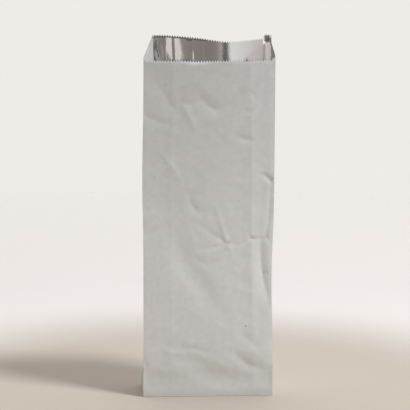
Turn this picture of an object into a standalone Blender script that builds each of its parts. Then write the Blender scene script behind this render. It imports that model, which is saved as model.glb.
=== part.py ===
"""A tall foil-lined paper bag for hot food, standing open and empty on its folded base.

The bag is one flat blank, cut along the top with saw teeth and folded into a tube with two side
gussets. Its back panel is cut higher than its front one, so the mouth slopes up from front to back.
Each ply is made in the same way: the blank is a grid, the grid is folded round the creases, its foot
is closed with a flat base, and the open sheet that results is given its thickness.

Metres, +Z up. The origin is the middle of the base, on the surface that the bag stands on. The front
panel faces -Y, and left and right are as seen from the front.
"""

import math

import bmesh
import bpy

# Driving dimensions
WIDTH = 0.120  # front and back panels, from crease to crease
GUSSET = 0.048  # each side panel, from crease to crease
FRONT_HEIGHT = 0.312  # from the base to the middle of the front panel's teeth
LIP_RISE = 0.0189  # how much higher the back corners are cut than the front panel
TOOTH_DEPTH = 0.0015  # of the saw-toothed cut, from tip to root
PAPER_WALL = 0.0004
FOIL_WALL = 0.0003
PLY_GAP = 0.0003  # air between the two plies, so that their meshes stay apart

# The cut edge, as heights above the middle of the front panel's teeth
LEFT_TIP_RISE = 0.0025  # where the front panel meets the left gusset
RIGHT_TIP_RISE = 0.0038
TIP_WIDTH = 0.004  # how far each tip reaches along the front panel
BACK_SAG = 0.0056  # how far the back panel's edge dips below its left end
SAG_CENTRE = 0.072  # where the dip is lowest, from the back left crease
SAG_POWER = 1.35  # how its right side climbs; its left side falls as a square
TAB_RISE = 0.0065  # how far the back right corner stands above the end of the gusset's slope
TAB_WIDTH = 0.003

# How the standing bag departs from a plain box
FRONT_BOW = 0.0045  # the front panel swells outwards by this at the mouth
BACK_BOW = 0.0073  # the back panel hollows inwards by this at the mouth
BACK_STRIP = 0.010  # width of the flat strip beside its left crease, where the hollow starts
FLARE = 0.08  # the slope with which its edge turns outwards
FLARE_START, FLARE_FULL = 0.300, 0.308  # the heights between which it turns
BACK_LEFT_SHIFT = 0.010  # how far the back left crease has come in at the mouth
BACK_RIGHT_SHIFT = 0.0006  # how far the back right crease has gone out
FOOT_PINCH = 0.002  # of that left shift, what happens just above the base
FOOT_LOW, FOOT_HIGH = 0.008, 0.026  # the heights between which it happens
GUSSET_FOLD = 0.005  # the most that a gusset's middle crease is folded in; it is flat at the mouth
FOLD_START, FOLD_FULL = 0.014, 0.095  # it starts and is deepest at these heights
LEFT_SWELL, LEFT_SWELL_Z, LEFT_SWELL_SPREAD = 0.0011, 0.205, 0.05
RIGHT_DENT, RIGHT_DENT_Z, RIGHT_DENT_SPREAD = 0.0018, 0.110, 0.045

# The pleat in the back panel beside the right gusset
PLEAT_STRIP = 0.0075  # width of the flat strip next to the crease
PLEAT_STEP = 0.0025  # width of the slanted step that leads from it to the panel
PLEAT_FALL = 0.0022  # how far the panel lies in front of the strip at the mouth

# The columns of the blank in order round the tube, as (panel, from, to, columns, teeth a column).
# The distances run along the panel, from the crease that it starts at.
BACK_MAIN = WIDTH - PLEAT_STRIP - PLEAT_STEP
BLANK = (
    ("back", WIDTH / 2, BACK_STRIP, 5, 4),
    ("back", BACK_STRIP, 0.0, 1, 4),
    ("left", 0.0, GUSSET, 4, 5),
    ("front", 0.0, WIDTH, 12, 4),
    ("right", 0.0, GUSSET, 4, 5),
    ("back", WIDTH, WIDTH - PLEAT_STRIP, 1, 3),
    ("back", WIDTH - PLEAT_STRIP, BACK_MAIN, 1, 1),
    ("back", BACK_MAIN, WIDTH / 2, 5, 4),
)
ROW_HEIGHTS = (
    [0.0, 0.008, 0.014, 0.020, 0.028, 0.040, 0.060]
    + [0.090 + 0.030 * step for step in range(7)]
    + [0.300]
)

PAPER_COLOUR = (0.78, 0.77, 0.74, 1.0)
FOIL_COLOUR = (0.80, 0.80, 0.81, 1.0)


def ease(value, low, high):
    """0 at low, 1 at high, and smooth in between."""
    share = min(max((value - low) / (high - low), 0.0), 1.0)
    return share * share * (3 - 2 * share)


def bump(value, centre, spread):
    """A bell of height 1."""
    return math.exp(-(((value - centre) / spread) ** 2))


def mix(first, second, share):
    return tuple(a + (b - a) * share for a, b in zip(first, second))


def gusset_fold(z):
    """How far the middle crease of a gusset lies inside the line between its outer creases."""
    rise = ease(z, FOLD_START, FOLD_FULL)
    fall = 1 - ease(z, FOLD_FULL, FRONT_HEIGHT)
    return GUSSET_FOLD * rise * fall


def flare(z):
    """How far the back of the bag has turned outwards at height z."""
    run = FLARE_FULL - FLARE_START
    turning = min(max(z - FLARE_START, 0.0), run)
    return FLARE * (turning**2 / (2 * run) + max(z - FLARE_FULL, 0.0))


def corners(z):
    """Plan positions of the four outer creases at height z."""
    share = z / FRONT_HEIGHT
    left = -WIDTH / 2 - LEFT_SWELL * bump(z, LEFT_SWELL_Z, LEFT_SWELL_SPREAD)
    right = WIDTH / 2 - RIGHT_DENT * bump(z, RIGHT_DENT_Z, RIGHT_DENT_SPREAD)
    left_shift = FOOT_PINCH * ease(z, FOOT_LOW, FOOT_HIGH)
    left_shift += (BACK_LEFT_SHIFT - FOOT_PINCH) * share
    front_y = -GUSSET / 2
    depth = 2 * math.sqrt((GUSSET / 2) ** 2 - gusset_fold(z) ** 2)
    left_depth = math.sqrt(depth**2 - left_shift**2)
    return {
        "front left": (left, front_y),
        "front right": (right, front_y),
        "back right": (right + BACK_RIGHT_SHIFT * share, front_y + depth + flare(z)),
        "back left": (left + left_shift, front_y + left_depth + flare(z)),
    }


def gusset_point(start, end, along, z, inwards):
    """A point of a side panel, which is two flat strips that meet at its middle crease."""
    x, y = mix(start, end, along / GUSSET)
    fold = gusset_fold(z) * (1 - abs(2 * along / GUSSET - 1))
    return x + inwards * fold, y


def front_point(start, end, along, z):
    share = along / WIDTH
    x, y = mix(start, end, share)
    return x, y - FRONT_BOW * (z / FRONT_HEIGHT) ** 2 * 4 * share * (1 - share)


def back_point(left, right, along, z):
    """A point of the back panel: a hollow sheet between two flat strips, with a step to the right one."""
    opening = ease(z, 0.0, FRONT_HEIGHT)
    x, y = mix(left, right, along / WIDTH)
    share = min(max((along - BACK_STRIP) / (BACK_MAIN - BACK_STRIP), 0.0), 1.0)
    hollow = BACK_BOW * opening * 4 * share * (1 - share)
    step = 1 - min(max((along - BACK_MAIN) / PLEAT_STEP, 0.0), 1.0)
    fall = PLEAT_FALL * opening * step * ease(along, BACK_STRIP, BACK_MAIN)
    return x, y - hollow - fall


def plan_point(panel, along, z):
    """Where a point of the blank lies in plan once it is folded, at height z."""
    at = corners(z)
    if panel == "front":
        return front_point(at["front left"], at["front right"], along, z)
    if panel == "left":
        return gusset_point(at["back left"], at["front left"], along, z, 1)
    if panel == "right":
        return gusset_point(at["front right"], at["back right"], along, z, -1)
    return back_point(at["back left"], at["back right"], along, z)


def cut_rise(panel, along):
    """How high the cut edge is, above the middle of the front panel's teeth."""
    if panel == "front":
        left_tip = LEFT_TIP_RISE * (1 - ease(along, 0.0, TIP_WIDTH))
        right_tip = RIGHT_TIP_RISE * ease(along, WIDTH - TIP_WIDTH, WIDTH)
        return left_tip + right_tip
    if panel == "left":
        return LIP_RISE + (LEFT_TIP_RISE - LIP_RISE) * along / GUSSET
    if panel == "right":
        slope = (LIP_RISE - TAB_RISE - RIGHT_TIP_RISE) * along / GUSSET
        return RIGHT_TIP_RISE + slope + TAB_RISE * ease(along, GUSSET - TAB_WIDTH, GUSSET)
    share = along / SAG_CENTRE
    sag = BACK_SAG * (share**2 if share < 1 else 1 - (share - 1) ** SAG_POWER)
    return LIP_RISE - sag * (1 - ease(along, BACK_MAIN, BACK_MAIN + PLEAT_STEP))


def blank_columns():
    """The lines between the blank's columns, as (panel, distance along it, teeth to the next)."""
    lines = []
    for panel, start, end, columns, teeth in BLANK:
        for column in range(columns):
            along = start + (end - start) * column / columns
            lines.append((panel, along, (end - start) / columns, teeth))
    return lines


def fold_blank(name):
    """The folded ply as an open sheet: a tube with a flat foot and a toothed top."""
    lines = blank_columns()
    sheet = bmesh.new()
    bmesh.ops.create_grid(
        sheet,
        x_segments=len(lines),
        y_segments=len(ROW_HEIGHTS),
        size=0.5,
    )
    top_row = len(ROW_HEIGHTS)
    for vert in sheet.verts:
        vert.co = ((vert.co.x + 0.5) * len(lines), (vert.co.y + 0.5) * top_row, 0)

    # Each top edge gets a vertex at every tip and root of its teeth.
    for count in sorted({teeth for panel, along, width, teeth in lines}):
        edges = []
        for edge in sheet.edges:
            middle = (edge.verts[0].co + edge.verts[1].co) / 2
            if middle.y > top_row - 0.1 and lines[int(middle.x)][3] == count:
                edges.append(edge)
        bmesh.ops.bisect_edges(sheet, edges=edges, cuts=2 * count - 1)

    for vert in sheet.verts:
        column = int(vert.co.x + 0.001)
        panel, along, width, teeth = lines[column % len(lines)]
        along += width * (vert.co.x - column)
        row = round(vert.co.y)
        if row < top_row:
            z = ROW_HEIGHTS[row]
        else:
            tip = round((vert.co.x - column) * 2 * teeth) % 2
            z = FRONT_HEIGHT + cut_rise(panel, along) + TOOTH_DEPTH * (tip - 0.5)
        vert.co = (*plan_point(panel, along, z), z)

    bmesh.ops.remove_doubles(sheet, verts=sheet.verts, dist=1e-6)
    foot = [e for e in sheet.edges if e.is_boundary and max(v.co.z for v in e.verts) < 1e-6]
    base = bmesh.ops.edgeloop_fill(sheet, edges=foot)["faces"][0]
    bmesh.ops.recalc_face_normals(sheet, faces=sheet.faces)
    if base.normal.z > 0:  # an open sheet may come out of it inside out
        bmesh.ops.reverse_faces(sheet, faces=sheet.faces)
    mesh = bpy.data.meshes.new(name)
    sheet.to_mesh(mesh)
    sheet.free()
    return mesh


def make_material(name, colour, roughness, metallic):
    material = bpy.data.materials.new(name)
    material.use_nodes = True
    shader = material.node_tree.nodes["Principled BSDF"]
    shader.inputs["Base Color"].default_value = colour
    shader.inputs["Roughness"].default_value = roughness
    shader.inputs["Metallic"].default_value = metallic
    return material


def make_ply(name, collection, material, wall, depth):
    """One ply of the bag: the folded sheet with a wall whose outer face lies depth inside it."""
    mesh = fold_blank(name)
    mesh.materials.append(material)
    mesh.shade_smooth()
    mesh.set_sharp_from_angle(angle=math.radians(12))
    ply = bpy.data.objects.new(name, mesh)
    collection.objects.link(ply)
    solidify = ply.modifiers.new("wall", "SOLIDIFY")
    solidify.thickness = wall
    solidify.offset = -2 * (depth + wall / 2) / wall
    solidify.use_even_offset = True
    return ply


def main():
    for old in list(bpy.data.objects):
        bpy.data.objects.remove(old)
    collection = bpy.data.collections.new("foil_bag")
    bpy.context.scene.collection.children.link(collection)
    paper = make_material("white_kraft_paper", PAPER_COLOUR, 0.75, 0.0)
    foil = make_material("aluminium_foil", FOIL_COLOUR, 0.22, 1.0)
    make_ply("paper_bag", collection, paper, PAPER_WALL, 0.0)
    make_ply("foil_lining", collection, foil, FOIL_WALL, PAPER_WALL + PLY_GAP)


main()
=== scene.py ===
"""The looks of the foil-lined paper bag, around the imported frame.

The bag is made the way a bag maker makes it: one blank of laminate, cut with saw teeth along the
top, folded into a tube with two side gussets and lapped at a seam down the back. Here the blank is
a fine grid that is folded by plan_point, crumpled by relief, and given its two plies, paper and
foil.

Lengths of the bag are millimetres in the frame's own axes until a mesh is finished: +Z up from the
base, the front panel towards -Y. A place on a panel is (along, z), where along runs from one crease
to the next. The studio's lengths are metres.
"""

import math

import bmesh
import bpy
from mathutils import Matrix, Vector, noise


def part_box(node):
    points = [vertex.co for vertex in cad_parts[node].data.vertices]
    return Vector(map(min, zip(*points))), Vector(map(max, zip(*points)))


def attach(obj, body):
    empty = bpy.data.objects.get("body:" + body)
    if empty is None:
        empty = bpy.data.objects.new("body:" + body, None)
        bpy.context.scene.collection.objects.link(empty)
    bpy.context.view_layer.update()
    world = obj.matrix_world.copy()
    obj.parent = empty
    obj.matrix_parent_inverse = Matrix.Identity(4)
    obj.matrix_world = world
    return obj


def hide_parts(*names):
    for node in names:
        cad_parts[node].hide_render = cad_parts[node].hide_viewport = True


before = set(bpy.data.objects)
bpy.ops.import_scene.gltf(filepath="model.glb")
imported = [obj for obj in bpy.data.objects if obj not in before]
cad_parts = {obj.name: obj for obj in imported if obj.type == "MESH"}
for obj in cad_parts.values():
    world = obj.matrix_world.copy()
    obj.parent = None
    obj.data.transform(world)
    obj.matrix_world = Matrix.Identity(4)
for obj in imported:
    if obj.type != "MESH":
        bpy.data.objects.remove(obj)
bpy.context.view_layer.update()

MM = 0.001

# Sizes that come from the frame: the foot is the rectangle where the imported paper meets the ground.
BAG_LOW, BAG_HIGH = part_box("paper_bag")
FOOT = [v.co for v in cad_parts["paper_bag"].data.vertices if v.co.z < BAG_LOW[2] + MM]
WIDTH = (max(co.x for co in FOOT) - min(co.x for co in FOOT)) / MM
GUSSET = (max(co.y for co in FOOT) - min(co.y for co in FOOT)) / MM

# The cut edge
TOOTH_DEPTH = 1.5
LIP_RISE = 18.9  # how much higher the back corners are cut than the front panel
FRONT_HEIGHT = BAG_HIGH[2] / MM - LIP_RISE - TOOTH_DEPTH / 2
LEFT_TIP_RISE = 2.5  # where the front panel meets the left gusset
RIGHT_TIP_RISE = 3.8
TIP_WIDTH = 4.0
BACK_SAG = 5.6
SAG_CENTRE = 72.0
SAG_POWER = 1.35
TAB_RISE = 6.5  # how far the back right corner stands above the end of the gusset's slope
TAB_WIDTH = 3.0
# The front rim curls inwards a little, and a stretch of it has rolled and lies lower.
LIP_CURL, LIP_REACH = 0.5, 2.4
ROLL, ROLL_REACH = 3.2, 4.5
ROLL_PLACE, ROLL_WIDTH, ROLL_DROP = 48.0, 9.0, 0.7

# The way the bag stands
FRONT_BOW = 4.5  # how far the front panel swells out at its rim
BACK_BOW = 7.3  # how deep the hollow of the back panel is at the mouth
BACK_STRIP = 12.0  # width of the flat strip beside the left crease, where the hollow starts
FLARE = 0.1  # the slope with which the back turns outwards at the mouth
FLARE_START, FLARE_FULL = 297.0, 305.0
BACK_LEFT_SHIFT = 12.4  # how far inside the front left crease the back one stands, at the mouth
LEFT_SPREAD = 0.075  # how fast the back left crease turns outwards again, above the flare's start
BACK_RIGHT_SHIFT = 1.2
FOOT_PINCH = 2.0
FOOT_LOW, FOOT_HIGH = 8.0, 26.0
GUSSET_FOLD = 5.0
FOLD_START, FOLD_FULL = 14.0, 95.0
LEFT_SWELL, LEFT_SWELL_Z, LEFT_SWELL_SPREAD = 1.1, 205.0, 50.0
RIGHT_DENT, RIGHT_DENT_Z, RIGHT_DENT_SPREAD = 1.8, 110.0, 45.0
# The back panel steps back beside its right crease: the width of the flat strip behind the step,
# and the width and depth of the step
PLEAT_STRIP = 6.25
PLEAT_STEP = 2.5
PLEAT_FALL = 2.2
STRIP_TURN = 0.9  # how far the strip beside the pleat starts in front of the crease, at the mouth
BACK_MAIN = WIDTH - PLEAT_STRIP - PLEAT_STEP

# The upright fold of the back panel near the mouth: its place, its lift towards the back, and the
# reach of its flat slopes to the left and right
UPRIGHT_PLACE, UPRIGHT_LIFT = 21.25, 0.22
UPRIGHT_LEFT, UPRIGHT_RIGHT = 1.25, 6.0
UPRIGHT_LOW, UPRIGHT_HIGH = 190.0, 290.0  # it grows between these heights

# The laminate. Each ply is drawn a little thicker than it is, so that its cut edge shows.
PAPER_PLY = 0.12
FOIL_PLY = 0.06
PLY_GAP = 0.06
SHARP_ANGLE = math.radians(35)  # edges that turn further than this stay sharp
BASE_LIFT = 0.3  # the folded flaps under the base fill this
FLAP_LAP = 9.0  # how far each flap reaches past the middle of the base
FLAP_MARGIN = 0.6  # how far the flaps stay inside the foot's outline
INNER_FLAP_LOW = 0.15

# The grid of the blank, as (panel, from, to, columns, teeth in each column)
BLANK = (
    ("back", WIDTH / 2, 0.0, 48, 0.5),
    ("left", 0.0, GUSSET, 20, 1),
    ("front", 0.0, WIDTH, 96, 0.5),
    ("right", 0.0, GUSSET, 20, 1),
    ("back", WIDTH, WIDTH / 2, 48, 0.5),
)
ROWS = 200
RIM_ROWS, RIM_STEP = 12, 0.8  # the topmost rows are this close together


def ease(value, low, high):
    """0 at low, 1 at high, and smooth in between."""
    share = min(max((value - low) / (high - low), 0.0), 1.0)
    return share * share * (3 - 2 * share)


def bump(value, centre, spread):
    """A bell of height 1."""
    return math.exp(-(((value - centre) / spread) ** 2))


def mix(first, second, share):
    """The point that lies share of the way from the first to the second."""
    return tuple(a + (b - a) * share for a, b in zip(first, second))


def gusset_fold(z):
    """How far the middle crease of a gusset lies inside the line between its outer creases."""
    rise = ease(z, FOLD_START, FOLD_FULL)
    fall = 1 - ease(z, FOLD_FULL, FRONT_HEIGHT)
    return GUSSET_FOLD * rise * fall


def flare(z):
    """How far the back of the bag has turned outwards at height z."""
    run = FLARE_FULL - FLARE_START
    turning = min(max(z - FLARE_START, 0.0), run)
    return FLARE * (turning**2 / (2 * run) + max(z - FLARE_FULL, 0.0))


def corners(z):
    """Plan positions of the four outer creases at height z."""
    share = z / FRONT_HEIGHT
    left = -WIDTH / 2 - LEFT_SWELL * bump(z, LEFT_SWELL_Z, LEFT_SWELL_SPREAD)
    right = WIDTH / 2 - RIGHT_DENT * bump(z, RIGHT_DENT_Z, RIGHT_DENT_SPREAD)
    left_shift = FOOT_PINCH * ease(z, FOOT_LOW, FOOT_HIGH)
    left_shift += (BACK_LEFT_SHIFT - FOOT_PINCH) * share - LEFT_SPREAD * max(z - FLARE_START, 0.0)
    front_y = -GUSSET / 2
    depth = 2 * math.sqrt((GUSSET / 2) ** 2 - gusset_fold(z) ** 2)
    left_depth = math.sqrt(depth**2 - left_shift**2)
    return {
        "front left": (left, front_y),
        "front right": (right, front_y),
        "back right": (right + BACK_RIGHT_SHIFT * share, front_y + depth + flare(z)),
        "back left": (left + left_shift, front_y + left_depth + flare(z)),
    }


def gusset_point(start, end, along, z, inwards):
    """A point of a side panel, which is two flat strips that meet at its middle crease."""
    x, y = mix(start, end, along / GUSSET)
    fold = gusset_fold(z) * (1 - abs(2 * along / GUSSET - 1))
    return x + inwards * fold, y


def front_point(start, end, along, z):
    """A point of the front panel, which swells out towards its rim."""
    share = along / WIDTH
    x, y = mix(start, end, share)
    return x, y - FRONT_BOW * (z / FRONT_HEIGHT) ** 2 * 4 * share * (1 - share)


def upright_fold(along, z):
    """The lift of the fold that the opened mouth has put in the back panel."""
    distance = along - UPRIGHT_PLACE
    reach = UPRIGHT_LEFT if distance < 0 else UPRIGHT_RIGHT
    lift = UPRIGHT_LIFT * max(1 - abs(distance) / reach, 0.0)
    return lift * ease(z, UPRIGHT_LOW, UPRIGHT_HIGH)


def back_point(left, right, along, z):
    """A point of the back panel: a hollow between two flat strips, with a step to the right one."""
    opening = ease(z, 0.0, FRONT_HEIGHT)
    x, y = mix(left, right, along / WIDTH)
    share = min(max((along - BACK_STRIP) / (BACK_MAIN - BACK_STRIP), 0.0), 1.0)
    hollow = BACK_BOW * opening * 4 * share * (1 - share)
    step = 1 - min(max((along - BACK_MAIN) / PLEAT_STEP, 0.0), 1.0)
    fall = PLEAT_FALL * opening * step * ease(along, BACK_STRIP, BACK_MAIN)
    past = max(along - BACK_MAIN - PLEAT_STEP, 0.0) / PLEAT_STRIP
    turn = STRIP_TURN * opening * (1 - step) * (1 - past)
    return x, y - hollow - fall - turn + upright_fold(along, z)


def plan_point(panel, along, z):
    """Where a point of the blank lies in plan once it is folded, at height z."""
    at = corners(z)
    if panel == "front":
        return front_point(at["front left"], at["front right"], along, z)
    if panel == "left":
        return gusset_point(at["back left"], at["front left"], along, z, 1)
    if panel == "right":
        return gusset_point(at["front right"], at["back right"], along, z, -1)
    return back_point(at["back left"], at["back right"], along, z)


def rim_height(panel, along):
    """The height of the cut edge, at the middle of its teeth."""
    if panel == "front":
        left_tip = LEFT_TIP_RISE * (1 - ease(along, 0.0, TIP_WIDTH))
        right_tip = RIGHT_TIP_RISE * ease(along, WIDTH - TIP_WIDTH, WIDTH)
        return FRONT_HEIGHT + left_tip + right_tip - ROLL_DROP * bump(along, ROLL_PLACE, ROLL_WIDTH)
    if panel == "left":
        return FRONT_HEIGHT + LIP_RISE + (LEFT_TIP_RISE - LIP_RISE) * along / GUSSET
    if panel == "right":
        slope = (LIP_RISE - TAB_RISE - RIGHT_TIP_RISE) * along / GUSSET
        tab = TAB_RISE * ease(along, GUSSET - TAB_WIDTH, GUSSET)
        return FRONT_HEIGHT + RIGHT_TIP_RISE + slope + tab
    share = along / SAG_CENTRE
    sag = BACK_SAG * (share**2 if share < 1 else 1 - (share - 1) ** SAG_POWER)
    return FRONT_HEIGHT + LIP_RISE - sag * (1 - ease(along, BACK_MAIN, BACK_MAIN + PLEAT_STEP))


# Creases, as the reach of their slopes and a line of (along, z, lift). A lift below 0 is a valley.
FRONT_CREASES = (
    # the middle creases of the gussets, which lay flat inside the bag and have printed through
    (10, ((26.0, 0.0, 0.2), (26.0, 312.0, 0.35))),
    (
        11,
        (
            (102.0, 0.0, 0.25),
            (101.9, 91.0, 0.5),
            (99.6, 150.0, 0.8),
            (99.6, 200.0, 0.8),
            (96.5, 312.0, 0.5),
        ),
    ),
    # the star where the panel was pinched, and its wavy ray to the right crease
    (2.5, ((77.4, 144.3, -0.8), (78.4, 144.3, -0.8))),
    (4.5, ((77.4, 144.3, -1.1), (63.0, 153.5, -0.6), (49.7, 162.9, -0.1))),
    (4.5, ((77.4, 144.3, 0.9), (66.1, 179.7, 0.1))),
    (3.8, ((77.4, 144.3, -1.0), (64.0, 139.5, -0.5), (52.5, 139.6, -0.2), (36.0, 141.0, 0.0))),
    (4.5, ((77.4, 144.3, 0.9), (84.0, 131.0, 0.0))),
    (3.4, ((77.4, 144.3, -0.9), (89.4, 142.5, -0.6), (99.4, 148.9, -0.9))),
    (3.4, ((99.4, 148.9, -0.9), (108.7, 146.8, -0.9), (113.5, 149.5, -0.9), (119.5, 142.5, -0.8))),
    (5, ((99.4, 148.9, -0.6), (96.0, 157.0, 0.0))),
    # the long valley beside the right crease
    (
        10,
        (
            (108.7, 151.0, -0.4),
            (109.0, 137.7, -1.7),
            (111.3, 114.2, -2.1),
            (114.6, 100.1, -1.9),
            (117.4, 87.9, -0.6),
        ),
    ),
    (4, ((111.5, 116.5, -0.8), (119.3, 113.3, -0.9))),
    # the dent and the small nicks above it
    (5, ((105.5, 208.0, -0.3), (111.0, 207.0, -1.4), (116.5, 203.0, -2.2), (119.5, 200.5, -1.8))),
    (5, ((117.5, 202.0, -0.5), (116.3, 188.0, -0.8), (115.8, 170.0, -0.9), (113.5, 151.0, -0.6))),
    (3, ((116.0, 193.0, -0.3), (120.0, 191.0, -0.9))),
    (3, ((115.5, 181.0, -0.3), (120.0, 179.5, -0.9))),
    (3, ((115.0, 172.0, -0.4), (120.0, 171.0, -0.9))),
    (3, ((115.0, 164.0, -0.3), (120.0, 161.5, -0.8))),
    # left edge
    (8, ((0.5, 149.9, -0.9), (13.0, 156.0, -0.9), (25.9, 162.9, -0.4))),
    (7, ((0.5, 174.1, -0.6), (14.3, 178.8, -0.2))),
    (8, ((0.5, 262.0, -0.5), (13.9, 256.5, -0.6), (31.0, 252.5, -0.3))),
    (4, ((0.3, 31.0, -1.2), (4.5, 29.0, 0.0))),
    # below the mouth
    (12, ((5.9, 299.5, -0.2), (17.0, 284.0, -0.5), (26.4, 269.3, -0.8))),
    (6, ((33.6, 273.9, -0.4), (42.7, 273.0, -0.8), (54.0, 277.4, -0.3))),
    (7, ((36.4, 271.5, 0.4), (48.4, 249.1, 0.5))),
    (7, ((46.0, 247.0, -0.5), (50.0, 249.5, -0.9), (62.9, 254.3, -0.2))),
    (
        11,
        (
            (46.9, 282.0, -0.2),
            (58.0, 271.5, -1.0),
            (66.5, 267.0, -1.7),
            (75.0, 272.5, -1.4),
            (87.4, 284.0, -0.6),
        ),
    ),
    (6, ((85.6, 243.6, -0.4), (91.0, 240.5, -0.9), (97.4, 239.9, -1.1))),
    (4, ((92.5, 266.5, -0.5), (97.3, 265.7, -0.8))),
    (5, ((97.0, 284.0, -0.5), (102.6, 276.7, -0.2))),
    # middle
    (8, ((14.0, 231.0, 0.2), (27.0, 215.5, 0.6), (35.2, 202.0, 0.2))),
    (6, ((11.6, 205.7, 0.4), (18.8, 213.0, 0.6), (27.0, 215.5, 0.4))),
    (7, ((40.5, 197.0, 0.2), (44.0, 181.0, -0.7), (48.0, 174.5, -0.9), (57.0, 173.5, -0.2))),
    (6, ((50.5, 129.0, -0.4), (58.0, 124.5, -0.8), (66.0, 128.0, -0.3))),
    (8, ((90.0, 101.0, 0.2), (101.0, 97.5, 0.5))),
    # foot
    (7, ((17.4, 45.3, 0.3), (24.0, 41.5, 0.9), (34.4, 40.5, 0.4))),
    (7, ((36.1, 45.3, -0.6), (45.5, 45.3, -1.0), (55.5, 42.2, -0.4))),
    (8, ((85.6, 39.5, -0.5), (96.8, 29.1, -1.3), (108.0, 26.2, -0.6))),
    (9, ((89.0, 72.0, 0.1), (95.0, 55.0, -0.6), (104.0, 47.0, -0.7))),
)
# Soft folds of the front panel, told the same way
FRONT_FOLDS = (
    (
        15,
        (
            (26.0, 152.0, -0.4),
            (33.0, 136.0, -1.3),
            (45.0, 117.0, -1.4),
            (57.0, 99.0, -1.3),
            (72.0, 74.0, -0.3),
        ),
    ),
    (
        14,
        (
            (27.0, 44.0, -0.2),
            (43.5, 32.0, -1.2),
            (58.0, 22.0, -1.6),
            (72.0, 17.0, -1.5),
            (90.0, 10.0, -0.4),
        ),
    ),
    (13, ((0.0, 15.0, -1.3), (60.0, 15.0, -0.7), (120.0, 19.0, -1.3))),
    (18, ((8.0, 200.0, -0.2), (22.0, 180.0, -1.2), (34.0, 160.0, -0.3))),
)
SOFT_SHARE = 0.75  # the share of these lifts that the bag shows
# Creases of the gussets: their middle crease, and others
SIDE_CREASES = (
    (5, ((24.0, 0.0, -0.6), (24.0, 200.0, -0.8), (24.0, 285.0, -0.1))),
    (7, ((0.0, 152.0, -1.0), (12.0, 146.0, -0.9), (22.0, 147.0, -0.3))),
    (7, ((48.0, 92.0, -1.0), (38.0, 101.0, -0.9), (27.0, 118.0, -0.2))),
    (6, ((0.0, 208.0, -0.9), (9.0, 214.0, -0.8), (16.0, 226.0, -0.2))),
    (7, ((4.0, 40.0, -0.3), (18.0, 33.0, -1.0), (40.0, 22.0, -0.6))),
)
# Creases of the back panel, the first three beside the mouth
BACK_CREASES = (
    (2.8, ((38.5, 296.0, 0.6), (38.5, 315.0, 0.5), (38.2, 324.0, 0.0))),
    (
        1.9,
        (
            (7.0, 310.0, 0.12),
            (5.6, 317.0, 0.15),
            (4.4, 321.5, 0.18),
            (5.6, 326.0, 0.15),
            (6.5, 331.0, 0.06),
        ),
    ),
    (2.5, ((12.5, 320.0, 0.0), (11.3, 325.0, -0.25), (13.0, 331.0, -0.1))),
    (10, ((14.0, 262.0, -0.3), (30.0, 248.0, -1.2), (52.0, 240.0, -0.9), (70.0, 246.0, -0.2))),
    (9, ((119.5, 211.0, -1.0), (104.0, 203.0, -1.1), (88.0, 186.0, -0.4))),
    (12, ((22.0, 158.0, -0.3), (41.0, 139.0, -1.4), (66.0, 112.0, -1.2), (78.0, 92.0, -0.3))),
    (8, ((0.5, 118.0, -0.9), (16.0, 108.0, -1.0), (30.0, 103.0, -0.2))),
    (8, ((88.0, 150.0, -0.3), (101.0, 141.0, -1.1), (119.5, 146.0, -0.9))),
    (11, ((12.0, 52.0, -0.3), (38.0, 36.0, -1.2), (70.0, 30.0, -1.1), (96.0, 38.0, -0.2))),
    (8, ((97.0, 72.0, -0.2), (108.0, 60.0, -1.0), (119.5, 57.0, -0.8))),
)
# Swells of the front panel: place, reach along the panel, reach in height, lift
FRONT_SWELLS = (
    (104.0, 42.0, 14, 9, 1.1),
    (25.0, 108.0, 20, 15, 0.7),
    (20.0, 285.0, 16, 18, -0.6),
    (76.0, 175.0, 34, 110, 1.6),
)

# Where the blank's two ends lap, down the back panel, how much thicker it is there, and the width
# over which it becomes so
SEAM_START, SEAM_END = 38.0, 50.0
SEAM_STEP, SEAM_SLOPE = 0.22, 1.25

# Stretches of the back rim whose edge has curled outwards: from, to, reach below the rim, lift
CURLS = (
    (0.0, 54.0, 2.4, 0.5),
    (34.0, 39.5, 5.0, 0.9),
    (BACK_MAIN + PLEAT_STEP, WIDTH, 10.0, 2.4),
)

# Crumples: the seed of their noise, which noise_vector would otherwise draw from the clock, their
# spacings and lifts, how far and how fast their lines wander, and the height of their crests
CRUMPLE_SEED = 1
CRUMPLE_SCALES = ((41.0, 1.0), (19.0, 0.5), (8.5, 0.2))
CRUMPLE_WANDER, CRUMPLE_WANDER_RATE = 0.35, 0.6
CRUMPLE_CREST = 0.35
CRUMPLE_AMOUNT = {"front": 0.5, "left": 1.1, "right": 1.1, "back": 1.1}
CRUMPLE_PLACE = {"front": 0.0, "left": 400.0, "right": 800.0, "back": 1200.0}

# The share of the crumples that is gone near the mouth, where the foil is smooth, and the heights
# between which they go. On the left part of the back panel a little more of them stays.
CALM = 0.92
CALM_LOW, CALM_HIGH = 280.0, 305.0
BACK_CALM = 0.75
BACK_CALM_START, BACK_CALM_FULL = 25.0, 50.0

# Relief grows over this much from a panel's creases, and from the foot
CREASE_MARGIN, FOOT_MARGIN = 3.5, 8.0

# Specks of dirt on the front panel: place, radius and tone
SPECKS = (
    (95.0, 66.1, 0.75, "#6a645c"),
    (19.9, 290.8, 0.5, "#a39e97"),
    (82.3, 292.9, 0.5, "#a39e97"),
    (11.1, 205.7, 0.5, "#a39e97"),
    (4.6, 184.8, 0.45, "#aaa59e"),
    (88.3, 183.9, 0.45, "#aaa59e"),
)


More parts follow.
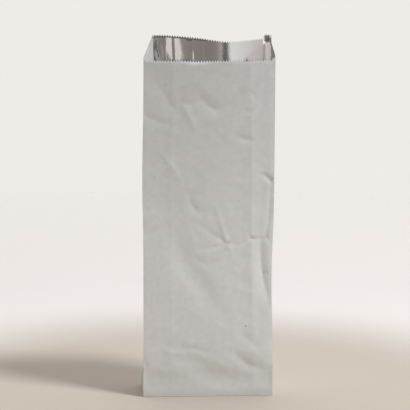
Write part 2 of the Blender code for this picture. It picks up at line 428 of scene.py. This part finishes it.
def crease_lift(along, z, reach, line, soft=False):
    """The height above the sheet that a crease, or a soft fold, gives to a place beside it."""
    nearest, height = reach, 0.0
    for (start, start_z, lift_start), (end, end_z, lift_end) in zip(line, line[1:]):
        run, rise = end - start, end_z - start_z
        share = ((along - start) * run + (z - start_z) * rise) / (run**2 + rise**2)
        share = min(max(share, 0.0), 1.0)
        distance = math.hypot(along - start - run * share, z - start_z - rise * share)
        if distance < nearest:
            nearest, height = distance, lift_start + (lift_end - lift_start) * share
    near = nearest / reach
    return height * (1 - near**2 if soft else 1 - near) ** 2


def crumple(panel, along, z):
    """A network of shallow creases, sharp where the noise changes sign."""
    total = 0.0
    for spacing, lift in CRUMPLE_SCALES:
        place = Vector((along / spacing, z / spacing, CRUMPLE_PLACE[panel] / spacing))
        place += CRUMPLE_WANDER * noise.noise_vector(place * CRUMPLE_WANDER_RATE)
        total += lift * (CRUMPLE_CREST - abs(noise.noise(place)))
    return total * CRUMPLE_AMOUNT[panel]


def front_relief(along, z):
    """The creases, soft folds, swells and curled rim of the front panel."""
    total = sum(crease_lift(along, z, *crease) for crease in FRONT_CREASES)
    total += SOFT_SHARE * sum(crease_lift(along, z, *fold, soft=True) for fold in FRONT_FOLDS)
    for centre, height, reach, reach_z, lift in FRONT_SWELLS:
        total += lift * bump(along, centre, reach) * bump(z, height, reach_z)
    below_rim = FRONT_HEIGHT - z
    total -= LIP_CURL * max(1 - below_rim / LIP_REACH, 0.0) ** 2
    roll = max(1 - below_rim / ROLL_REACH, 0.0) ** 2
    return total - ROLL * roll * bump(along, ROLL_PLACE, ROLL_WIDTH)


def back_relief(along, z):
    """The creases, lapped seam and curled rim of the back panel."""
    total = sum(crease_lift(along, z, *crease) for crease in BACK_CREASES)
    lap = ease(along, SEAM_START, SEAM_START + SEAM_SLOPE)
    lap -= ease(along, SEAM_END, SEAM_END + SEAM_SLOPE)
    total += SEAM_STEP * lap
    below_rim = rim_height("back", along) - z
    for start, end, reach, lift in CURLS:
        if start < along < end and below_rim < reach:
            total += lift * (1 - below_rim / reach) ** 2
    return total


def relief(panel, along, z, length):
    """How far the laminate stands out of its folded place, 0 at the panel's creases."""
    calm = 0.0 if panel == "front" else CALM * ease(z, CALM_LOW, CALM_HIGH)
    if panel == "back":
        calm *= BACK_CALM + (1 - BACK_CALM) * ease(along, BACK_CALM_START, BACK_CALM_FULL)
    total = crumple(panel, along, z) * (1 - calm)
    if panel == "front":
        total += front_relief(along, z)
    elif panel == "back":
        total += back_relief(along, z)
    else:
        total += sum(crease_lift(along, z, *crease) for crease in SIDE_CREASES)
    inside = ease(min(along, length - along), 0.0, CREASE_MARGIN)
    return total * inside * ease(z, 0.0, FOOT_MARGIN)


def sheet_point(panel, along, z):
    """The finished place of a point of the blank, in millimetres."""
    length = GUSSET if panel in ("left", "right") else WIDTH
    x, y = plan_point(panel, along, z)
    nudge = 0.5  # the panel's direction is taken over this much to each side
    before = plan_point(panel, max(along - nudge, 0.0), z)
    after = plan_point(panel, min(along + nudge, length), z)
    tangent = Vector((after[0] - before[0], after[1] - before[1])).normalized()
    outwards = -1 if panel == "back" else 1
    out = relief(panel, along, z, length) * outwards
    return Vector((x + tangent.y * out, y - tangent.x * out, z))


def blank_columns():
    """The lines between the blank's columns: panel, distance along it, width, teeth to the next."""
    lines = []
    for panel, start, end, columns, teeth in BLANK:
        for column in range(columns):
            along = start + (end - start) * column / columns
            lines.append((panel, along, (end - start) / columns, teeth))
    return lines


def fold_blank():
    """The blank, folded, as one open sheet with a flat foot and a toothed top."""
    lines = blank_columns()
    sheet = bmesh.new()
    bmesh.ops.create_grid(sheet, x_segments=len(lines), y_segments=ROWS, size=0.5)
    for vert in sheet.verts:
        vert.co = ((vert.co.x + 0.5) * len(lines), (vert.co.y + 0.5) * ROWS, 0)

    # A column that holds a whole tooth gets a vertex at the tooth's root.
    wide = []
    for edge in sheet.edges:
        middle = (edge.verts[0].co + edge.verts[1].co) / 2
        if middle.y > ROWS - 0.1 and lines[int(middle.x)][3] == 1:
            wide.append(edge)
    bmesh.ops.bisect_edges(sheet, edges=wide, cuts=1)

    for vert in sheet.verts:
        column = int(vert.co.x + 0.001)
        panel, along, width, teeth = lines[column % len(lines)]
        share = vert.co.x - column
        along += width * share
        row = round(vert.co.y)
        rim = rim_height(panel, along)
        z = rim - (ROWS - row) * RIM_STEP
        if row < ROWS - RIM_ROWS:
            z = BASE_LIFT + (rim - RIM_ROWS * RIM_STEP - BASE_LIFT) * row / (ROWS - RIM_ROWS)
        if row == ROWS:
            phase = share if teeth == 1 else (column % 2) / 2
            z += TOOTH_DEPTH * (0.5 - 2 * phase)
        vert.co = sheet_point(panel, along, z) * MM

    # The blank's two ends meet, and its open foot is closed with the flat base.
    bmesh.ops.remove_doubles(sheet, verts=sheet.verts, dist=1e-6)
    foot = [e for e in sheet.edges if e.is_boundary and max(v.co.z for v in e.verts) < 0.5 * MM]
    base = bmesh.ops.edgeloop_fill(sheet, edges=foot)["faces"][0]
    bmesh.ops.recalc_face_normals(sheet, faces=sheet.faces)
    if base.normal.z > 0:  # an open sheet may come out of it inside out
        bmesh.ops.reverse_faces(sheet, faces=sheet.faces)
    return sheet


def make_ply(name, sheet, depth, thickness, material, node):
    """One ply of the laminate, whose outer face lies depth inside the sheet."""
    mesh = bpy.data.meshes.new(name)
    sheet.to_mesh(mesh)
    mesh.materials.append(material)
    mesh.shade_smooth()
    ply = bpy.data.objects.new(name, mesh)
    bpy.context.scene.collection.objects.link(ply)
    wall = ply.modifiers.new("wall", "SOLIDIFY")
    wall.thickness = thickness * MM
    wall.offset = -2 * (depth + thickness / 2) / thickness
    wall.use_even_offset = True
    graph = bpy.context.evaluated_depsgraph_get()
    solid = bpy.data.meshes.new_from_object(ply.evaluated_get(graph))
    ply.modifiers.clear()
    ply.data = solid
    solid.set_sharp_from_angle(angle=SHARP_ANGLE)
    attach(ply, "root")
    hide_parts(node)


def make_base_flap(name, outline, low, material):
    """One flap of the folded base: a flat sheet with the outline's (x, y) corners."""
    sheet = bmesh.new()
    corner_verts = [sheet.verts.new((x * MM, y * MM, low * MM)) for x, y in outline]
    face = sheet.faces.new(corner_verts)
    raised = bmesh.ops.extrude_face_region(sheet, geom=[face])["geom"]
    top = [item for item in raised if isinstance(item, bmesh.types.BMVert)]
    bmesh.ops.translate(sheet, verts=top, vec=(0, 0, PAPER_PLY * MM))
    bmesh.ops.recalc_face_normals(sheet, faces=sheet.faces)
    mesh = bpy.data.meshes.new(name)
    sheet.to_mesh(mesh)
    sheet.free()
    mesh.materials.append(material)
    flap = bpy.data.objects.new(name, mesh)
    bpy.context.scene.collection.objects.link(flap)
    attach(flap, "root")
    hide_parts("paper_bag")


def make_base_flaps(material):
    """The flaps that square the base: a whole one, and over it one with mitred corners."""
    side, depth = WIDTH / 2 - FLAP_MARGIN, GUSSET / 2 - FLAP_MARGIN
    mitre = side - depth
    inner = ((-side, -FLAP_LAP), (side, -FLAP_LAP), (side, depth), (-side, depth))
    outer = ((-side, -depth), (side, -depth), (mitre, FLAP_LAP), (-mitre, FLAP_LAP))
    make_base_flap("inner_base_flap", inner, INNER_FLAP_LOW, material)
    make_base_flap("outer_base_flap", outer, 0.0, material)


def linear(hex_colour):
    """A linear RGBA colour from an sRGB hex value."""
    parts = [int(hex_colour[i : i + 2], 16) / 255 for i in (1, 3, 5)]
    rgb = [p / 12.92 if p <= 0.04045 else ((p + 0.055) / 1.055) ** 2.4 for p in parts]
    return (*rgb, 1.0)


def add_node(tree, kind, settings=None, links=None):
    """A shader node with its settings, and with links from its inputs to other nodes' sockets."""
    node = tree.nodes.new(kind)
    for name, value in (settings or {}).items():
        if name in node.inputs:
            node.inputs[name].default_value = value
        else:
            setattr(node, name, value)
    for name, socket in (links or {}).items():
        tree.links.new(socket, node.inputs[name])
    return node


def new_material(name):
    """A new material, with its node tree and its Principled shader."""
    material = bpy.data.materials.new(name)
    material.use_nodes = True
    tree = material.node_tree
    return material, tree, tree.nodes["Principled BSDF"]


# Sizes of the paper's cloudy formation and of its tangled fibres, which are drawn coarser than they
# are so that they show, and of the foil's wrinkles
CLOUD_SIZE = 6.0
FIBRE_SIZE, FIBRE_HEIGHT = 1.2, 0.08
WRINKLE_SIZE, WRINKLE_HEIGHT = 5.0, 0.15


def white_kraft_paper():
    """Bleached kraft paper: matt white, with cloudy formation, a fibrous tooth and a few specks."""
    material, tree, shader = new_material("white_kraft_paper")
    place = add_node(tree, "ShaderNodeTexCoord").outputs["Object"]
    clouds = add_node(
        tree,
        "ShaderNodeTexNoise",
        {"Scale": 1 / (CLOUD_SIZE * MM), "Detail": 3.0, "Roughness": 0.6},
        {"Vector": place},
    )
    ramp = add_node(tree, "ShaderNodeValToRGB", links={"Fac": clouds.outputs["Fac"]})
    ramp.color_ramp.elements[0].position = 0.3
    ramp.color_ramp.elements[0].color = linear("#d6d5d0")
    ramp.color_ramp.elements[1].position = 0.7
    ramp.color_ramp.elements[1].color = linear("#dddcd8")
    colour = ramp.outputs["Color"]
    for along, z, radius, tone in SPECKS:
        speck = add_node(tree, "ShaderNodeVectorMath", {"operation": "DISTANCE"})
        tree.links.new(place, speck.inputs[0])
        speck.inputs[1].default_value = sheet_point("front", along, z) * MM
        spot = add_node(
            tree,
            "ShaderNodeMapRange",
            {"From Min": 0.6 * radius * MM, "From Max": radius * MM, "To Min": 1.0, "To Max": 0.0},
            {"Value": speck.outputs["Value"]},
        )
        stained = add_node(tree, "ShaderNodeMix", {"data_type": "RGBA"})
        tree.links.new(spot.outputs["Result"], stained.inputs["Factor"])
        tree.links.new(colour, stained.inputs["A"])
        stained.inputs["B"].default_value = linear(tone)
        colour = stained.outputs["Result"]
    tree.links.new(colour, shader.inputs["Base Color"])
    fibres = add_node(
        tree,
        "ShaderNodeTexNoise",
        {"Scale": 1 / (FIBRE_SIZE * MM), "Detail": 2.0},
        {"Vector": place},
    )
    tooth = add_node(
        tree,
        "ShaderNodeBump",
        {"Strength": 0.15, "Distance": FIBRE_HEIGHT * MM},
        {"Height": fibres.outputs["Fac"]},
    )
    tree.links.new(tooth.outputs["Normal"], shader.inputs["Normal"])
    shader.inputs["Roughness"].default_value = 0.62
    shader.inputs["IOR"].default_value = 1.48
    shader.inputs["Specular IOR Level"].default_value = 0.35
    return material


def aluminium_foil():
    """Rolled foil, bright side in: metallic, with fine wrinkles that break up what it mirrors."""
    material, tree, shader = new_material("rolled_aluminium_foil")
    place = add_node(tree, "ShaderNodeTexCoord").outputs["Object"]
    wrinkles = add_node(
        tree,
        "ShaderNodeTexNoise",
        {"Scale": 1 / (WRINKLE_SIZE * MM), "Detail": 4.0, "Roughness": 0.55},
        {"Vector": place},
    )
    crinkle = add_node(
        tree,
        "ShaderNodeBump",
        {"Strength": 0.25, "Distance": WRINKLE_HEIGHT * MM},
        {"Height": wrinkles.outputs["Fac"]},
    )
    tree.links.new(crinkle.outputs["Normal"], shader.inputs["Normal"])
    shader.inputs["Base Color"].default_value = linear("#f2f1f0")
    shader.inputs["Metallic"].default_value = 1.0
    shader.inputs["Roughness"].default_value = 0.11
    return material


# The photograph's view: a long lens, a little above the bag and to its left
LENS = 193.9
SENSOR = 36.0
VIEW_DISTANCE = 1997.0  # level distance to the front panel
VIEW_HEIGHT = 496.0
VIEW_AZIMUTH = math.radians(-4.2)
VIEW_PITCH = math.radians(9.0)
VIEW_ROLL = math.radians(0.25)
VIEW_ASIDE = -3.6  # the aim is this far to the left of the panel's middle


def place_camera():
    """The camera, at the photograph's view."""
    data = bpy.data.cameras.new("view")
    data.lens = LENS
    data.sensor_width = SENSOR
    data.clip_end = 100.0
    camera = bpy.data.objects.new("view", data)
    bpy.context.scene.collection.objects.link(camera)
    ahead = Vector((-math.sin(VIEW_AZIMUTH), math.cos(VIEW_AZIMUTH), 0))
    aside = Vector((ahead.y, -ahead.x, 0))
    aim = Vector((0, -GUSSET / 2, 0)) + aside * VIEW_ASIDE
    eye = aim - ahead * VIEW_DISTANCE + Vector((0, 0, VIEW_HEIGHT))
    turn = Matrix.Rotation(VIEW_AZIMUTH, 4, "Z")
    tilt = Matrix.Rotation(math.pi / 2 - VIEW_PITCH, 4, "X")
    roll = Matrix.Rotation(VIEW_ROLL, 4, "Z")
    camera.matrix_world = Matrix.Translation(eye * MM) @ turn @ tilt @ roll
    bpy.context.scene.camera = camera


def add_light(name, place, aim, size, power, colour, beam):
    """A soft rectangular studio light at place, facing aim."""
    data = bpy.data.lights.new(name, "AREA")
    data.shape = "RECTANGLE"
    data.size, data.size_y = size
    data.energy = power
    data.spread = math.radians(beam)
    data.color = linear(colour)[:3]
    light = bpy.data.objects.new(name, data)
    light.location = place
    light.rotation_euler = (Vector(aim) - Vector(place)).to_track_quat("-Z", "Y").to_euler()
    light.visible_glossy = False  # the foil mirrors the room alone
    bpy.context.scene.collection.objects.link(light)


# What the studio is like all round, as degrees from the front towards the right, and a tone
ROOM_TONES = (
    (-180, (1.00, 0.97, 0.95)),
    (-70, (0.38, 0.365, 0.35)),
    (-30, (0.70, 0.66, 0.64)),
    (-25, (0.70, 0.66, 0.64)),
    (-23, (0.25, 0.228, 0.213)),
    (0, (0.215, 0.197, 0.186)),
    (5, (0.28, 0.257, 0.247)),
    (6.5, (0.48, 0.44, 0.42)),
    (7.0, (0.56, 0.51, 0.49)),
    (7.5, (0.07, 0.07, 0.075)),
    (13.4, (0.095, 0.095, 0.10)),
    (14.0, (0.75, 0.76, 0.77)),
    (22, (0.70, 0.69, 0.68)),
    (45, (0.50, 0.47, 0.455)),
    (70, (1.10, 1.08, 1.06)),
    (110, (1.10, 1.08, 1.06)),
    (180, (1.00, 0.97, 0.95)),
)
# and overhead, from the front (0) to behind the bag (1)
CEILING_TONES = (
    (0.0, (0.06, 0.06, 0.065)),
    (0.5, (0.34, 0.34, 0.34)),
    (0.7, (1.10, 1.08, 1.06)),
    (1.0, (1.25, 1.22, 1.20)),
)
CEILING_START, CEILING_FULL = 0.25, 0.5  # where walls turn into ceiling, as a direction's rise
FILL = 0.33  # the share of the room's tones that lights matt surfaces
BACKDROP = "#efebe7"

# The lights: place and aim, size, watts, colour and the angle of the beam in degrees. The last one
# stands for what a pale table throws up, and its beam is narrow enough to pass over the floor.
LIGHTS = (
    ("upper_right", (2.0, -1.5, 4.1), (0, 0, 0.16), (0.9, 0.9), 145.0, "#f8fbff", 180),
    ("low_front", (0.6, -1.5, 0.3), (0, 0, 0), (1.0, 0.3), 1.2, "#f8fbff", 180),
    ("foot", (0.18, -0.34, 0.02), (0.02, 0, 0.09), (0.34, 0.03), 0.036, "#f4f8ff", 60),
)


def set_stops(ramp, stops):
    """Gives a colour ramp its stops, as (position, red-green-blue)."""
    while len(ramp.elements) < len(stops):
        ramp.elements.new(0.5)
    for element, (position, colour) in zip(ramp.elements, stops):
        element.position = position
        element.color = (*colour, 1.0)


def light_studio():
    """A pale room, brighter behind the bag than before it, and the lights."""
    world = bpy.data.worlds.new("studio")
    bpy.context.scene.world = world
    world.use_nodes = True
    tree = world.node_tree
    background = tree.nodes["Background"]
    direction = add_node(tree, "ShaderNodeTexCoord").outputs["Generated"]
    parts = add_node(tree, "ShaderNodeSeparateXYZ", links={"Vector": direction})
    ahead = add_node(
        tree,
        "ShaderNodeMath",
        {"operation": "MULTIPLY"},
        {"Value": parts.outputs["Y"]},
    )
    ahead.inputs[1].default_value = -1.0
    turn = add_node(tree, "ShaderNodeMath", {"operation": "ARCTAN2"}, {"Value": parts.outputs["X"]})
    tree.links.new(ahead.outputs["Value"], turn.inputs[1])
    share = add_node(
        tree,
        "ShaderNodeMapRange",
        {"From Min": -math.pi, "From Max": math.pi},
        {"Value": turn.outputs["Value"]},
    )
    room = add_node(tree, "ShaderNodeValToRGB", links={"Fac": share.outputs["Result"]})
    set_stops(room.color_ramp, [((degrees + 180) / 360, tone) for degrees, tone in ROOM_TONES])
    depth = add_node(
        tree,
        "ShaderNodeMapRange",
        {"From Min": -1.0, "From Max": 1.0},
        {"Value": parts.outputs["Y"]},
    )
    ceiling = add_node(tree, "ShaderNodeValToRGB", links={"Fac": depth.outputs["Result"]})
    set_stops(ceiling.color_ramp, CEILING_TONES)
    height = add_node(
        tree,
        "ShaderNodeMapRange",
        {
            "From Min": CEILING_START,
            "From Max": CEILING_FULL,
            "interpolation_type": "SMOOTHSTEP",
        },
        {"Value": parts.outputs["Z"]},
    )
    lit = add_node(tree, "ShaderNodeMix", {"data_type": "RGBA"})
    tree.links.new(height.outputs["Result"], lit.inputs["Factor"])
    rays = add_node(tree, "ShaderNodeLightPath")
    dim = add_node(tree, "ShaderNodeMapRange", {"To Min": 1.0, "To Max": FILL})
    tree.links.new(rays.outputs["Is Diffuse Ray"], dim.inputs["Value"])
    walls = add_node(tree, "ShaderNodeVectorMath", {"operation": "SCALE"})
    tree.links.new(room.outputs["Color"], walls.inputs["Vector"])
    tree.links.new(dim.outputs["Result"], walls.inputs["Scale"])
    tree.links.new(walls.outputs["Vector"], lit.inputs["A"])
    tree.links.new(ceiling.outputs["Color"], lit.inputs["B"])
    shown = add_node(tree, "ShaderNodeMix", {"data_type": "RGBA"})
    tree.links.new(rays.outputs["Is Camera Ray"], shown.inputs["Factor"])
    tree.links.new(lit.outputs["Result"], shown.inputs["A"])
    shown.inputs["B"].default_value = linear(BACKDROP)
    tree.links.new(shown.outputs["Result"], background.inputs["Color"])
    for light in LIGHTS:
        add_light(*light)


# The floor: its radius, where it lightens, and where it fades into the room
FLOOR_RADIUS = 1.6
LIGHTENS_FROM, LIGHTENS_TO = 0.2, 0.42
FADES_FROM, FADES_TO = 0.5, 1.5


def make_floor():
    """A pale floor that lightens away from the bag, until it fades into the room."""
    sheet = bmesh.new()
    bmesh.ops.create_circle(sheet, cap_ends=True, segments=96, radius=FLOOR_RADIUS)
    mesh = bpy.data.meshes.new("floor")
    sheet.to_mesh(mesh)
    sheet.free()
    material, tree, shader = new_material("pale_table")
    place = add_node(tree, "ShaderNodeTexCoord").outputs["Object"]
    distance = add_node(tree, "ShaderNodeVectorMath", {"operation": "LENGTH"})
    tree.links.new(place, distance.inputs[0])
    away = add_node(
        tree,
        "ShaderNodeMapRange",
        {
            "From Min": LIGHTENS_FROM,
            "From Max": LIGHTENS_TO,
            "interpolation_type": "SMOOTHSTEP",
        },
        {"Value": distance.outputs["Value"]},
    )
    tone = add_node(
        tree,
        "ShaderNodeMix",
        {"data_type": "RGBA"},
        {"Factor": away.outputs["Result"]},
    )
    tone.inputs["A"].default_value = linear("#c9beb1")
    tone.inputs["B"].default_value = linear("#efeae6")
    tree.links.new(tone.outputs["Result"], shader.inputs["Base Color"])
    shader.inputs["Roughness"].default_value = 0.8
    fade = add_node(
        tree,
        "ShaderNodeMapRange",
        {"From Min": FADES_FROM, "From Max": FADES_TO, "To Min": 1.0, "To Max": 0.0},
        {"Value": distance.outputs["Value"]},
    )
    tree.links.new(fade.outputs["Result"], shader.inputs["Alpha"])
    mesh.materials.append(material)
    floor = bpy.data.objects.new("floor", mesh)
    bpy.context.scene.collection.objects.link(floor)


def main():
    """Place the camera, make the bag and the floor, and light them."""
    noise.seed_set(CRUMPLE_SEED)
    place_camera()
    sheet = fold_blank()
    paper = white_kraft_paper()
    make_ply("paper_ply", sheet, 0.0, PAPER_PLY, paper, "paper_bag")
    make_ply("foil_ply", sheet, PAPER_PLY + PLY_GAP, FOIL_PLY, aluminium_foil(), "foil_lining")
    sheet.free()
    make_base_flaps(paper)
    make_floor()
    light_studio()
    bpy.context.scene.view_settings.view_transform = "Standard"
    cycles = bpy.context.scene.cycles
    cycles.max_bounces = cycles.glossy_bounces = 32  # light finds its way out of the foil lining
    cycles.denoising_prefilter = "NONE"  # keeps the saw teeth crisp


main()
